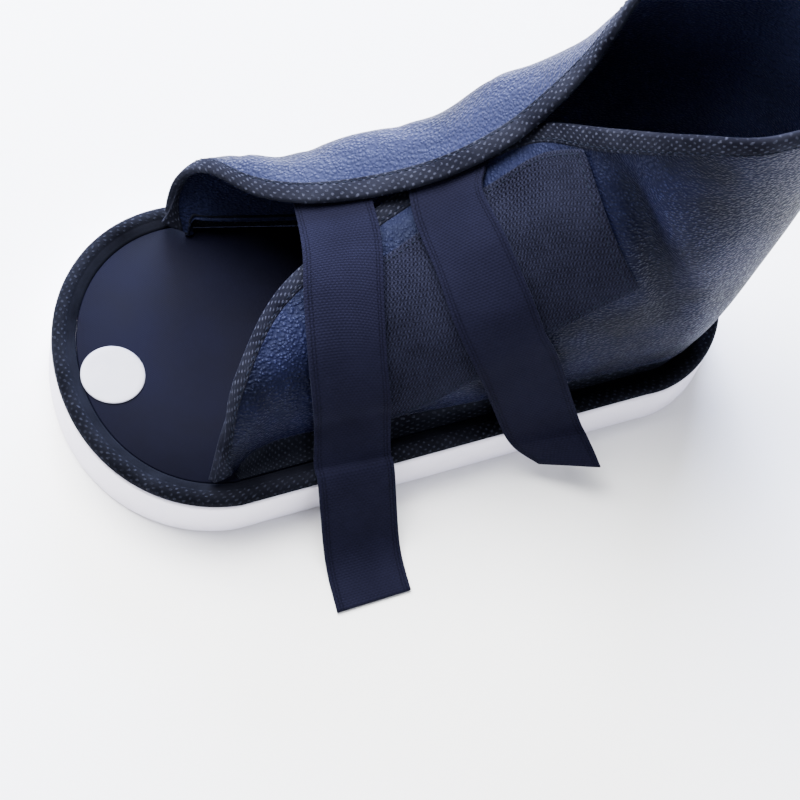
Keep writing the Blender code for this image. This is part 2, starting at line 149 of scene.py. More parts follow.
@dataclass(frozen=True)
class Sizes:
    """Sizes that the whole boot shares, in metres."""

    length: float = 0.280
    toe_width: float = 0.136
    heel_width: float = 0.093
    toe_round: float = 0.061
    heel_round: float = 0.044
    sole: float = 0.022
    sole_edge: float = 0.0016
    insole: float = 0.0027
    rim_width: float = 0.0095
    rim_height: float = 0.0052
    collar: float = 0.180
    leather: float = 0.0018
    fold: float = 0.0035
    tape_width: float = 0.009
    tape_thickness: float = 0.0038
    patch: float = 0.0012
    patch_ease: float = 0.0009
    strap_width: float = 0.0315
    strap: float = 0.0015
    strap_ease: float = 0.0008
    label_radius: float = 0.0127
    label: float = 0.0005
    gap: float = 0.0003
    uneven: float = 0.00035

    @property
    def half_length(self) -> float:
        """Half of the sole's length."""
        return self.length / 2

    @property
    def half_toe(self) -> float:
        """Half of the sole's width at the toe."""
        return self.toe_width / 2

    @property
    def seat(self) -> float:
        """Height at which things stand on the insole."""
        return self.sole + self.gap + self.insole + self.gap

    @property
    def rim_top(self) -> float:
        """Height of the rim's highest line."""
        return self.sole + self.gap + self.rim_height


def unit(vectors: Array) -> Array:
    """Vectors divided by their lengths.

    Args:
        vectors: any array whose last axis is X, Y, Z.

    Returns:
        The same array at length one.
    """
    return vectors / np.maximum(np.linalg.norm(vectors, axis=-1, keepdims=True), 1e-12)


def spline(table: Array, place: Array) -> Array:
    """Uniform Catmull-Rom curve through a table's rows, with straight ends.

    Args:
        table: values at the whole numbers 0, 1, 2...
        place: where to read it, any shape.

    Returns:
        Values with place's shape and the table's row behind it.
    """
    place = np.asarray(place, float)
    last = len(table) - 1
    low = np.clip(place.astype(int), 0, last - 1)
    part = (place - low).reshape(place.shape + (1,) * (table.ndim - 1))
    before, here, after, beyond = (table[np.clip(low + step, 0, last)] for step in (-1, 0, 1, 2))
    first = (low == 0).reshape(part.shape)
    final = (low == last - 1).reshape(part.shape)
    before = np.where(first, 2 * here - after, before)
    beyond = np.where(final, 2 * after - here, beyond)
    return here + 0.5 * part * ((after - before) + part * (2 * before - 5 * here + 4 * after - beyond
                                + part * (3 * here - 3 * after + beyond - before)))


def wobble(a: Array, b: Array, seed: int, waves: int = 9) -> Array:
    """Smooth uneven height: a sum of sines in seeded directions, between -1 and 1.

    Args:
        a: first coordinate, about one unit for each swell.
        b: second coordinate, same shape.
        seed: fixes the directions.
        waves: how many sines.

    Returns:
        Height with a's shape.
    """
    random = np.random.default_rng(seed)
    angle, phase = random.uniform(0, 6.283, (2, waves))
    pitch = random.uniform(0.6, 2.2, waves)
    total = sum(np.sin(6.283 * p * (a * np.cos(t) + b * np.sin(t)) + f) / p
                for t, f, p in zip(angle, phase, pitch))
    return total / waves


class WallShape:
    """The leather wall's middle surface and what is measured on it."""

    def __init__(self, sizes: Sizes) -> None:
        """Keep the boot's sizes."""
        self.sizes = sizes
        self.last = len(WALL) - 1

    def half_width(self, x: Array, inset: Array | float) -> Array:
        """Half width of the sole: superellipse toe, straight taper, superellipse heel.

        Args:
            x: place along the sole.
            inset: how far the outline is drawn in.

        Returns:
            Half width at x.
        """
        s = self.sizes
        x = np.asarray(x, float)
        toe_end, heel_end = -s.half_length + s.toe_round, s.half_length - s.heel_round
        taper = np.clip((x - toe_end) / (heel_end - toe_end), 0, 1)
        width = s.half_toe + (s.heel_width / 2 - s.half_toe) * taper - inset
        toe = np.clip((toe_end - x) / (s.toe_round - inset), 0, 1)
        heel = np.clip((x - heel_end) / (s.heel_round - inset), 0, 1)
        return width * (1 - toe**2.07) ** (1 / 2.07) * (1 - heel**1.86) ** (1 / 1.86)

    def outline(self, inset: float, count: int) -> Array:
        """Closed outline of the sole with evenly spaced points, anticlockwise from the heel.

        Args:
            inset: how far it is drawn in.
            count: how many points.

        Returns:
            Array of count by 2.
        """
        half = self.sizes.half_length - inset
        x = half * np.cos(np.linspace(0, np.pi, 1501))
        y = self.half_width(x, inset)
        y[[0, -1]] = 0
        loop = np.concatenate([np.stack([x, y], 1), np.stack([x, -y], 1)[-2::-1]])
        run = np.concatenate([[0], np.cumsum(np.linalg.norm(np.diff(loop, axis=0), axis=1))])
        even = np.linspace(0, run[-1], count, endpoint=False)
        return np.stack([np.interp(even, run, loop[:, k]) for k in (0, 1)], 1)

    def relief(self, table: Array, row: Array, up: Array) -> Array:
        """Height of folds: each is a bell across a line from one place to another, fading out at its ends.

        Args:
            table: FOLDS or CREASES.
            row: place round the boot.
            up: place from base to edge.

        Returns:
            Height in metres.
        """
        s = self.sizes
        scale = s.collar / (s.length / 14) * 0.6
        height = np.zeros(np.shape(row))
        for row_a, up_a, row_b, up_b, reach, rise in table:
            run = np.array([row_b - row_a, (up_b - up_a) * scale])
            dx, dy = row - row_a, (up - up_a) * scale
            along = np.clip((dx * run[0] + dy * run[1]) / (run @ run), 0, 1)
            away = np.hypot(dx - along * run[0], dy - along * run[1]) / reach
            height += s.fold * rise * np.exp(-away**2) * np.sin(np.pi * (0.12 + 0.76 * along))
        return height * np.clip(up * 8, 0, 1) * np.clip((1 - up) * 8, 0, 1)

    def smooth(self, row: Array, up: Array) -> Array:
        """Wall without folds: a cubic Bezier curve from base to edge at each row.

        Args:
            row: place round the boot.
            up: place from base to edge.

        Returns:
            Points in space.
        """
        s = self.sizes
        row, up = np.broadcast_arrays(np.asarray(row, float), np.asarray(up, float))
        base_x, inset, edge_x, edge_y, edge_z, turn, low_out, low_up, high_out, high_drop = np.moveaxis(
            spline(WALL, row), -1, 0)
        side = np.where(row <= (self.last - 1) / 2, -1, 1)
        inset = inset * s.rim_width
        base_x = np.where(base_x > 0, base_x * (s.half_length - inset), base_x * s.half_length)
        base = np.stack([base_x, side * self.half_width(base_x, inset), np.full(base_x.shape, s.seat)], -1)
        edge = np.stack([edge_x * s.half_length, edge_y * s.half_toe, s.seat + edge_z * s.collar], -1)
        turn = np.radians(turn)
        out = np.stack([np.sin(turn), -np.cos(turn), 0 * turn], -1) * s.half_toe
        rise = np.array([0, 0, s.collar])
        low = base + out * low_out[..., None] + rise * low_up[..., None]
        high = edge + out * high_out[..., None] - rise * high_drop[..., None]
        u = up[..., None]
        return (1 - u)**3 * base + 3 * (1 - u)**2 * u * low + 3 * (1 - u) * u**2 * high + u**3 * edge

    def normal(self, row: Array, up: Array) -> Array:
        """Outward unit normal of the smooth wall, the cross product of its central differences.

        Args:
            row: place round the boot.
            up: place from base to edge.

        Returns:
            Unit vectors.
        """
        row, up = np.broadcast_arrays(np.asarray(row, float), np.asarray(up, float))
        step = 0.01
        row_a, row_b = np.clip(row - step, 0, self.last), np.clip(row + step, 0, self.last)
        up_a, up_b = np.clip(up - step, 0, 1 - step), np.clip(up + step, step, 1)
        across = self.smooth(row_b, up) - self.smooth(row_a, up)
        return unit(np.cross(across, self.smooth(row, up_b) - self.smooth(row, up_a)))

    def point(self, row: Array, up: Array) -> Array:
        """Wall with its folds, as in the solids."""
        row, up = np.broadcast_arrays(np.asarray(row, float), np.asarray(up, float))
        return self.smooth(row, up) + self.normal(row, up) * self.relief(FOLDS, row, up)[..., None]

    def worn(self, row: Array, up: Array) -> Array:
        """Wall with folds, fine creases and a slight unevenness of the hide, which fades at both edges.

        Args:
            row: place round the boot.
            up: place from base to edge.

        Returns:
            Points in space.
        """
        row, up = np.broadcast_arrays(np.asarray(row, float), np.asarray(up, float))
        fade = np.clip(up * 6, 0, 1) * np.clip((1 - up) * 8, 0, 1)
        fine = self.relief(CREASES, row, up) + self.sizes.uneven * wobble(row * 0.8, up * 5, 3) * fade
        return self.point(row, up) + self.normal(row, up) * fine[..., None]

    def below_edge(self, row: Array, distance: float) -> Array:
        """The up that lies a distance down the wall from its top edge.

        Args:
            row: places round the boot.
            distance: length measured on the wall.

        Returns:
            One up for each row.
        """
        ups = np.linspace(1, 0, 90)
        points = self.point(row[:, None], ups[None])
        run = np.cumsum(np.linalg.norm(np.diff(points, axis=1), axis=2), axis=1)
        run = np.concatenate([np.zeros((len(row), 1)), run], 1)
        return np.array([np.interp(distance, r, ups) for r in run])


def grid_faces(rows: int, columns: int, wrap_rows: bool, wrap_columns: bool) -> Array:
    """Corner numbers of a grid's quads.

    Args:
        rows: points in the first direction.
        columns: points in the second.
        wrap_rows: whether the last row joins the first.
        wrap_columns: whether the last column joins the first.

    Returns:
        Array of quads by 4.
    """
    i, j = np.meshgrid(np.arange(rows if wrap_rows else rows - 1),
                       np.arange(columns if wrap_columns else columns - 1), indexing="ij")
    i2, j2 = (i + 1) % rows, (j + 1) % columns
    corners = (i * columns + j, i2 * columns + j, i2 * columns + j2, i * columns + j2)
    return np.stack(corners, -1).reshape(-1, 4)


def outward(verts: Array, quads: Array) -> Array:
    """Quads of a closed mesh turned so that they face outwards.

    Args:
        verts: points by 3.
        quads: corner numbers.

    Returns:
        The quads, each reversed where the signed volume, a sum of triple products, is negative.
    """
    a, b, c, d = np.moveaxis(verts[quads], 1, 0)
    volume = np.sum(a * (np.cross(b, c) + np.cross(c, d)))
    return quads if volume > 0 else quads[:, ::-1]


def make_piece(name: str, verts: Array, quads: Array, uv: Array, material: bpy.types.Material,
               node: str | None) -> bpy.types.Object:
    """Turn arrays into one smooth-shaded piece that rides on the boot.

    Args:
        name: the piece's name.
        verts: points, any grid of X, Y, Z.
        quads: corner numbers.
        uv: one pair per point, in metres on the cloth.
        material: its finish.
        node: the solid it stands for, if any.

    Returns:
        The new object.
    """
    verts, uv = verts.reshape(-1, 3), uv.reshape(-1, 2)
    quads = outward(verts, quads)
    mesh = bpy.data.meshes.new(name)
    mesh.vertices.add(len(verts))
    mesh.vertices.foreach_set("co", verts.astype(np.float32).ravel())
    corners = quads.ravel()
    mesh.loops.add(len(corners))
    mesh.loops.foreach_set("vertex_index", corners.astype(np.int32))
    mesh.polygons.add(len(quads))
    mesh.polygons.foreach_set("loop_start", np.arange(0, len(corners), 4, dtype=np.int32))
    mesh.update(calc_edges=True)
    layer = mesh.uv_layers.new(name="Cloth")
    layer.data.foreach_set("uv", uv[corners].astype(np.float32).ravel())
    mesh.validate()
    mesh.shade_smooth()
    mesh.materials.append(material)
    piece = bpy.data.objects.new(name, mesh)
    bpy.context.collection.objects.link(piece)
    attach(piece, "root")
    if node:
        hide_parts(node)
    log.info("%s: %d faces", name, len(quads))
    return piece


def sleeve(front: Array, back: Array, uv: Array) -> tuple[Array, Array, Array]:
    """Closed shell from a front and a back grid: one loop per row, and a cap at both ends.

    Args:
        front: outer points, rows by columns by 3.
        back: inner points, same shape.
        uv: cloth coordinates of both, rows by columns by 2.

    Returns:
        Points, quads and uv for make_piece.
    """
    rows, columns = front.shape[:2]
    loop = np.concatenate([front, back[:, ::-1]], 1)
    both = np.concatenate([uv, uv[:, ::-1]], 1)
    quads = grid_faces(rows, 2 * columns, False, True)
    j = np.arange(columns - 1)
    first = np.stack([j, j + 1, 2 * columns - 2 - j, 2 * columns - 1 - j], -1)
    final = first[:, ::-1] + (rows - 1) * 2 * columns
    return loop, np.concatenate([quads, first, final]), both


def rounded(columns: int, edge: float) -> Array:
    """Half thickness across a tape, 1 in the middle and rounded to 0.35 at both edges.

    Args:
        columns: how many points across.
        edge: share of the width that each rounding takes.

    Returns:
        Array of columns.
    """
    a = np.linspace(0, 1, columns)
    near = np.clip(np.minimum(a, 1 - a) / edge, 0, 1)
    return 0.35 + 0.65 * np.sqrt(1 - (1 - near)**2)


class Weave(Enum):
    """How a cloth is woven."""

    TAPE = "open tape with raised dots"
    WEBBING = "close ribbed webbing"
    LOOPS = "short loops in rows"


class Nodes:
    """Short way to build a material's nodes."""

    def __init__(self, name: str) -> None:
        """Make an empty material with its shader."""
        self.material = bpy.data.materials.new(name)
        self.material.use_nodes = True
        self.tree = self.material.node_tree
        self.shader = self.tree.nodes["Principled BSDF"]

    def add(self, kind: str, values: dict[str | int, object] | None = None,
            **settings: object) -> bpy.types.Node:
        """Add one node.

        Args:
            kind: node type without its ShaderNode prefix.
            values: sockets by name or number; a socket is linked, anything else is set.
            settings: the node's own properties.

        Returns:
            The node.
        """
        node = self.tree.nodes.new("ShaderNode" + kind)
        for key, value in settings.items():
            setattr(node, key, value)
        for key, value in (values or {}).items():
            if isinstance(value, bpy.types.NodeSocket):
                self.tree.links.new(value, node.inputs[key])
            else:
                node.inputs[key].default_value = value
        return node

    def math(self, operation: str, a: object, b: object = 0.0) -> bpy.types.NodeSocket:
        """One arithmetic step on two sockets or numbers."""
        return self.add("Math", {0: a, 1: b}, operation=operation).outputs[0]

    def mix(self, share: object, low: object, high: object) -> bpy.types.NodeSocket:
        """Blend two colours by a share; each may be a colour, a number or a socket.

        Args:
            share: 0 gives low and 1 gives high.
            low: colour at 0.
            high: colour at 1.

        Returns:
            The blended colour.
        """
        node = self.add("Mix", data_type="RGBA")
        for index, value in ((0, share), (6, low), (7, high)):
            if isinstance(value, bpy.types.NodeSocket):
                self.tree.links.new(value, node.inputs[index])
            else:
                node.inputs[index].default_value = (*value, 1) if index else value
        return node.outputs[2]

    def noise(self, where: bpy.types.NodeSocket, scale: float, detail: float = 3.0) -> bpy.types.NodeSocket:
        """Noise between 0 and 1."""
        return self.add("TexNoise", {"Vector": where, "Scale": scale, "Detail": detail}).outputs[0]

    def span(self, value: bpy.types.NodeSocket, low: float, high: float, out_low: float = 0.0,
             out_high: float = 1.0) -> bpy.types.NodeSocket:
        """Map one span of values to another, clamped.

        Args:
            value: what is mapped.
            low: where the output is out_low.
            high: where the output is out_high.
            out_low: output at low.
            out_high: output at high.

        Returns:
            The mapped value.
        """
        return self.add("MapRange", {0: value, 1: low, 2: high, 3: out_low, 4: out_high}).outputs[0]

    def wave(self, value: bpy.types.NodeSocket, pitch: float, phase: float = 0.0) -> bpy.types.NodeSocket:
        """Sine of a length with the given pitch in metres."""
        turn = self.add("Math", {0: value, 1: 6.28319 / pitch, 2: phase}, operation="MULTIPLY_ADD").outputs[0]
        return self.math("SINE", turn)

    def bump(self, height: bpy.types.NodeSocket, distance: float, strength: float,
             under: bpy.types.NodeSocket | None = None) -> bpy.types.NodeSocket:
        """Bump of a height over another normal.

        Args:
            height: 0 to 1.
            distance: metres that a height of 1 stands up.
            strength: share of the bump that shows.
            under: the normal it is laid on, if any.

        Returns:
            The bumped normal.
        """
        values: dict[str | int, object] = {"Height": height, "Distance": distance, "Strength": strength}
        if under:
            values["Normal"] = under
        return self.add("Bump", values).outputs[0]

    def dress(self, **sockets: object) -> bpy.types.Material:
        """Set or link the shader's sockets.

        Args:
            sockets: by name, with underscores for spaces; a socket is linked, anything else is set.

        Returns:
            The material.
        """
        for key, value in sockets.items():
            socket = self.shader.inputs[key.replace("_", " ")]
            if isinstance(value, bpy.types.NodeSocket):
                self.tree.links.new(value, socket)
            else:
                socket.default_value = value
        return self.material


@dataclass(frozen=True)
class Leather:
    """Pebbled, slightly glossy navy leather."""

    name: str = "navy_leather"
    dark: Colour = (0.0012, 0.0013, 0.0048)
    light: Colour = (0.0040, 0.0046, 0.0175)
    # pale colour: rubbed wear and painted highlight on pebble tips, painted highlight on fold ridges, painted
    # light on the far flap
    worn: Colour = (0.0310, 0.0370, 0.0960)
    pebble: float = 0.00115
    # share of the pale colour painted on the far flap, painted light standing for the light from behind
    far_flap_painted_light: float = 0.38

    def build(self) -> bpy.types.Material:
        """Pebbles from stretched Voronoi cells, swells from noise, pebble tips paler for wear and painted
        highlight, painted highlight on fold ridges, painted shade in folds and painted light on the far flap.

        Returns:
            The material; it reads the wall's Relief attribute, the height of its folds in metres.
        """
        n = Nodes(self.name)
        where = n.add("TexCoord").outputs["Object"]
        flat = n.add("VectorMath", {0: where, 1: (0.80, 0.80, 1.30)}, operation="MULTIPLY").outputs[0]
        stray = n.add("VectorMath", {0: n.add("TexNoise", {"Vector": where, "Scale": 300.0}).outputs[1],
                                     "Scale": 0.0012}, operation="SCALE").outputs[0]
        moved = n.add("VectorMath", {0: flat, 1: stray}, operation="ADD").outputs[0]
        cell = n.add("TexVoronoi", {"Vector": moved, "Scale": 1 / self.pebble, "Smoothness": 0.35},
                     feature="SMOOTH_F1").outputs[0]
        pebble = n.span(cell, 0.10, 0.75, 1.0, 0.0)
        swell = n.noise(where, 30.0, 4.0)
        fine = n.noise(where, 2400.0, 2.0)
        colour = n.mix(n.span(swell, 0.36, 0.66), self.dark, self.light)
        # Painted light: across the outer (+Y) side the colour is mixed toward the pale one, for light falling
        # on the far flap from behind.
        side = n.add("SeparateXYZ", {0: where}).outputs[1]
        over = n.math("MULTIPLY", n.span(side, 0.002, 0.030), n.span(side, 0.044, 0.062, self.far_flap_painted_light, 0.02))
        colour = n.mix(over, colour, self.worn)
        # Painted shade and highlight from the fold height: the colour darkens in folds, and ridges add to the
        # pale pebble tips.
        relief = n.add("Attribute", attribute_name="Relief").outputs["Fac"]
        raised = n.span(relief, 0.0002, 0.0022)
        colour = n.mix(n.span(relief, -0.0004, -0.0036, 0.0, 1.0), colour, self.dark)
        # Pebble tips turn pale: partly rubbed wear from the swell noise, partly painted highlight standing in
        # for gloss, more on fold ridges.
        rub_and_ridge_highlight = n.math("ADD", n.span(swell, 0.40, 0.72, 0.08, 0.38), n.math("MULTIPLY", raised, 0.45))
        tip_wear_and_highlight = n.math("MULTIPLY", n.span(pebble, 0.60, 1.0), rub_and_ridge_highlight)
        colour = n.mix(tip_wear_and_highlight, colour, self.worn)
        rough = n.math("ADD", n.span(pebble, 0.2, 1.0, 0.60, 0.30), n.span(fine, 0.3, 0.7, -0.04, 0.04))
        normal = n.bump(swell, 0.0012, 0.30)
        normal = n.bump(fine, 0.00003, 0.4, normal)
        normal = n.bump(pebble, 0.00036, 1.0, normal)
        return n.dress(Base_Color=colour, Roughness=rough, Normal=normal, Specular_IOR_Level=0.08,
                       Specular_Tint=(0.50, 0.62, 1.0, 1.0))


@dataclass(frozen=True)
class Cloth:
    """Woven navy or black cloth, read from the piece's own cloth coordinates."""

    name: str
    weave: Weave
    dark: Colour
    light: Colour
    pitch: float
    roughness: float = 0.8
    sheen: float = 0.03
    depth: float = 0.00025
    # For tape, half is where the dots fade: painted shade on the rim's inner slope.
    half: float = 0.0  # webbing: half its width; tape: where its dots end, 0 for nowhere

    def yarns(self, n: Nodes, u: bpy.types.NodeSocket, v: bpy.types.NodeSocket,
              where: bpy.types.NodeSocket) -> bpy.types.NodeSocket:
        """Height of the yarns, 0 to 1, from sines of the cloth coordinates.

        Args:
            n: the material's nodes.
            u: length along the cloth.
            v: length across it.
            where: place on the object.

        Returns:
            Tape: dots where sine x sine is high, in staggered rows. Webbing: ribs across with a fine cross
            yarn and two sewn lines along each selvedge. Loops: slanted rows broken into knots.
        """
        if self.weave is Weave.TAPE:
            dots = n.math("MULTIPLY", n.wave(u, self.pitch * 1.3), n.wave(v, self.pitch))
            uneven = n.span(n.noise(where, 700.0, 3.0), 0.36, 0.62, 0.25, 1.0)
            dots = n.math("MULTIPLY", n.span(dots, 0.20, 0.85), uneven)
            # Painted shade: past half, on the rim's inner slope, the dots fade, so the tape turns dark and
            # flat there.
            if self.half:
                dots = n.math("MULTIPLY", dots, n.span(v, self.half, self.half + 0.0012, 1.0, 0.12))
            return dots
        if self.weave is Weave.WEBBING:
            rib = n.math("MULTIPLY", n.wave(u, self.pitch), 0.15)
            weft = n.math("MULTIPLY", n.wave(v, self.pitch * 1.5), n.wave(u, self.pitch * 2))
            cross = n.math("MULTIPLY", weft, 0.20)
            height = n.math("ADD", n.math("ADD", rib, cross), 0.55)
            away = n.math("ABSOLUTE", n.math("SUBTRACT", n.math("ABSOLUTE", v), self.half * 0.86))
            groove = n.span(n.math("ABSOLUTE", n.math("SUBTRACT", away, 0.0006)), 0.0, 0.0004, 0.55, 0.0)
            return n.math("SUBTRACT", height, groove)
        slant, upright = n.math("MULTIPLY", u, 0.94), n.math("MULTIPLY", v, 0.94)
        rows = n.wave(n.math("ADD", slant, n.math("MULTIPLY", v, -0.34)), self.pitch)
        knots = n.wave(n.math("ADD", upright, n.math("MULTIPLY", u, 0.34)), self.pitch * 1.15)
        broken = n.math("MULTIPLY", n.math("MULTIPLY", rows, knots), 0.36)
        height = n.math("ADD", n.math("MULTIPLY", rows, 0.20), broken)
        return n.math("ADD", height, n.span(n.noise(where, 1900.0, 2.0), 0.3, 0.7, 0.10, 0.80))

    def build(self) -> bpy.types.Material:
        """Yarn height as bump, and colour and gloss from the same height with patchy wear.

        Returns:
            The material; it reads the piece's cloth coordinates, in metres.
        """
        n = Nodes(self.name)
        coords = n.add("TexCoord")
        where = coords.outputs["Object"]
        flat = n.add("SeparateXYZ", {0: coords.outputs["UV"]})
        u, v = flat.outputs[0], flat.outputs[1]
        stray = n.math("MULTIPLY", n.math("SUBTRACT", n.noise(where, 500.0, 2.0), 0.5), self.pitch * 0.5)
        height = self.yarns(n, n.math("ADD", u, stray), n.math("ADD", v, stray), where)
        patchy = n.noise(where, 55.0, 5.0)
        fuzz = n.noise(where, 5200.0, 1.0)
        share = n.math("ADD", n.math("MULTIPLY", n.span(height, 0.1, 1.0), 0.75),
                       n.math("MULTIPLY", n.span(patchy, 0.3, 0.7), 0.25))
        colour = n.mix(share, self.dark, self.light)
        rough = n.span(fuzz, 0.2, 0.8, self.roughness - 0.08, min(1.0, self.roughness + 0.08))
        normal = n.bump(height, self.depth, 0.9)
        normal = n.bump(fuzz, 0.00004, 0.5, normal)
        return n.dress(Base_Color=colour, Roughness=rough, Normal=normal, Sheen_Weight=self.sheen,
                       Sheen_Roughness=0.45, Sheen_Tint=(0.40, 0.46, 0.75, 1.0), Specular_IOR_Level=0.02)


# The rim tape's dots fade past 9 mm across: painted shade on its inner slope.
RIM_TAPE = Cloth("rim_tape", Weave.TAPE, (0.0005, 0.0006, 0.0015), (0.0150, 0.0165, 0.0260), 0.0029,
                 half=0.0090)
EDGE_TAPE = Cloth("edge_tape", Weave.TAPE, (0.0013, 0.0014, 0.0036), (0.0360, 0.0390, 0.0600), 0.0029)
STRIP_CLOTH = Cloth("strip_cloth", Weave.TAPE, (0.0008, 0.0010, 0.0024), (0.0240, 0.0270, 0.0400), 0.0029)
LOOP_FABRIC = Cloth("loop_fabric", Weave.LOOPS, (0.0006, 0.0006, 0.0018), (0.0150, 0.0160, 0.0310), 0.0017,
                    roughness=0.9, sheen=0.04)
THREAD = Cloth("thread", Weave.WEBBING, (0.0040, 0.0050, 0.0100), (0.0200, 0.0240, 0.0400), 0.0004)
WEBBING = Cloth("webbing", Weave.WEBBING, (0.0018, 0.0018, 0.0050), (0.0072, 0.0074, 0.0180), 0.0011,
                half=Sizes().strap_width / 2)


@dataclass(frozen=True)
class Foam:
    """White foam with closed, fine cells and a faint cool tint."""

    name: str = "white_foam"
    base: Colour = (0.88, 0.84, 0.96)
    shade: Colour = (0.74, 0.71, 0.84)

    def build(self) -> bpy.types.Material:
        """Two sizes of noise for scuffs and cells, greyer near the floor.

        Returns:
            The material.
        """
        n = Nodes(self.name)
        where = n.add("TexCoord").outputs["Object"]
        scuff = n.noise(where, 45.0, 6.0)
        cells = n.noise(where, 1500.0, 2.0)
        height = n.add("SeparateXYZ", {0: where}).outputs[2]
        low = n.span(height, 0.0, 0.006, 0.75, 0.0)
        share = n.math("MULTIPLY", n.math("ADD", n.span(scuff, 0.45, 0.75), low), 0.6)
        return n.dress(Base_Color=n.mix(share, self.base, self.shade),
                       Roughness=n.span(scuff, 0.3, 0.7, 0.55, 0.75), Normal=n.bump(cells, 0.00008, 0.5))


@dataclass(frozen=True)
class InsoleCover:
    """Smooth near-black sheet, dulled by use."""

    name: str = "insole_cover"
    dark: Colour = (0.0014, 0.0015, 0.0046)
    light: Colour = (0.0032, 0.0034, 0.0096)

    def build(self) -> bpy.types.Material:
        """Broad and fine noise, with a faint knit.

        Returns:
            The material.
        """
        n = Nodes(self.name)
        coords = n.add("TexCoord")
        where = coords.outputs["Object"]
        flat = n.add("SeparateXYZ", {0: coords.outputs["UV"]})
        knit = n.math("MULTIPLY", n.wave(flat.outputs[0], 0.0011), n.wave(flat.outputs[1], 0.0011))
        broad = n.noise(where, 24.0, 5.0)
        grain = n.noise(where, 1800.0, 2.0)
        normal = n.bump(broad, 0.0006, 0.25)
        normal = n.bump(n.math("ADD", n.math("MULTIPLY", knit, 0.4), grain), 0.00006, 0.5, normal)
        return n.dress(Base_Color=n.mix(n.span(broad, 0.3, 0.7), self.dark, self.light),
                       Roughness=n.span(broad, 0.3, 0.7, 0.62, 0.78), Normal=normal, Specular_IOR_Level=0.03)


@dataclass(frozen=True)
class Film:
    """White printed-label film, left blank."""

    name: str = "label_film"
    base: Colour = (0.32, 0.32, 0.38)
    rim: Colour = (0.26, 0.26, 0.32)

    def build(self) -> bpy.types.Material:
        """Slightly greyed toward its rim, with faint ripples.

        Returns:
            The material.
        """
        n = Nodes(self.name)
        coords = n.add("TexCoord")
        across = n.add("SeparateXYZ", {0: coords.outputs["UV"]}).outputs[0]
        ripple = n.noise(coords.outputs["Object"], 220.0, 3.0)
        return n.dress(Base_Color=n.mix(n.span(across, 0.0118, 0.0132), self.base, self.rim),
                       Roughness=n.span(ripple, 0.3, 0.7, 0.26, 0.40), Normal=n.bump(ripple, 0.0002, 0.25))


@dataclass
class Sole:
    """Foam sole, insole, rim tape and label."""

    shape: WallShape
    points: int = 480
    rim_points: int = 720
    rim_run: float = 0.72
    section: tuple[tuple[float, float], ...] = (
        (0.10, 0.02), (0.03, 0.16), (0.00, 0.40), (0.03, 0.64), (0.10, 0.84), (0.22, 0.96), (0.34, 1.00),
        (0.46, 0.97), (0.56, 0.90), (0.62, 0.80), (0.66, 0.77), (0.72, 0.74), (0.80, 0.66), (0.90, 0.58),
        (1.00, 0.50), (1.02, 0.20), (1.00, 0.02))

    def plate(self, name: str, profile: list[tuple[float, float]], material: bpy.types.Material, node: str) -> bpy.types.Object:
        """Solid plate: outlines drawn in and raised along a profile, then drawn to the middle line.

        Args:
            name: the piece's name.
            profile: inset and height, from the underside's middle to the upper side's middle.
            material: its finish.
            node: the solid it stands for.

        Returns:
            The piece.
        """
        loops, n = [], self.points
        for inset, height in profile:
            flat = self.shape.outline(inset, n)
            loops.append(np.column_stack([flat, np.full(n, height)]))
        for share in (0.5, 0.12, 0.0):
            loops.insert(0, self.drawn_in(loops[0], share))
            loops.append(self.drawn_in(loops[-1], share))
        grid = np.stack(loops)
        quads = grid_faces(len(grid), n, False, True)
        return make_piece(name, grid, quads, grid[..., :2], material, node)

    @staticmethod
    def drawn_in(loop: Array, share: float) -> Array:
        """A loop pulled toward the sole's middle line.

        Args:
            loop: points of the loop.
            share: what is left of its width; of its length 0.35 more is left.

        Returns:
            The smaller loop.
        """
        return loop * np.array([0.35 + 0.65 * share, share, 1.0])

    def build(self) -> None:
        """Make the foam sole, the insole, the rim tape and the label.

        The sole's edges are quarter circles, and the rim is its section carried round the outline.
        """
        s = self.shape.sizes
        low = [(s.sole_edge * (1 - np.sin(t)), s.sole_edge * (1 - np.cos(t)))
               for t in np.linspace(0, np.pi / 2, 6)]
        high = [(inset, s.sole - z) for inset, z in reversed(low)]
        middle = [(0.0, z) for z in np.linspace(s.sole_edge * 2, s.sole - s.sole_edge * 2, 5)]
        self.plate("foam_sole", low + middle + high, Foam().build(), "outsole")
        base = s.sole + s.gap
        edge = s.rim_width + s.gap
        top, bevel = base + s.insole, 0.0004
        self.plate("insole_sheet", [(edge, base), (edge, top - bevel), (edge + bevel, top)],
                   InsoleCover().build(), "insole")
        n = self.rim_points
        loops = [np.column_stack([self.shape.outline(inward * s.rim_width, n),
                                  np.full(n, base + upward * s.rim_height)])
                 for inward, upward in self.section]
        grid = np.stack(loops, 1)
        around = np.concatenate([[0], np.cumsum(np.linalg.norm(np.diff(grid, axis=1), axis=2)[0])])
        run = np.linspace(0, self.rim_run, n)
        uv = np.stack(np.broadcast_arrays(run[:, None], around[None]), -1)
        quads = grid_faces(n, len(self.section), True, True)
        make_piece("rim_tape", grid, quads, uv, RIM_TAPE.build(), "rim_binding")
        self.label()

    def label(self) -> None:
        """Blank round label: rings from the middle outward, its rim turned down."""
        s = self.shape.sizes
        turns = np.linspace(0, 2 * np.pi, 96, endpoint=False)
        radius = np.array([0.0, 0.4, 0.8, 0.97, 1.0, 1.0, 0.97, 0.4, 0.0]) * s.label_radius
        height = s.seat - 0.0002 + s.label * np.array([1, 1, 1, 1, 0.8, 0.2, 0, 0, 0])
        x = LABEL_PLACE[0] * s.half_length + radius[:, None] * np.cos(turns)
        y = LABEL_PLACE[1] * s.half_toe + radius[:, None] * np.sin(turns)
        grid = np.stack([x, y, np.repeat(height[:, None], 96, 1)], -1)
        uv = np.stack(np.broadcast_arrays(radius[:, None], turns[None]), -1)
        make_piece("blank_label", grid, grid_faces(9, 96, False, True), uv, Film().build(),
                   "size_label")


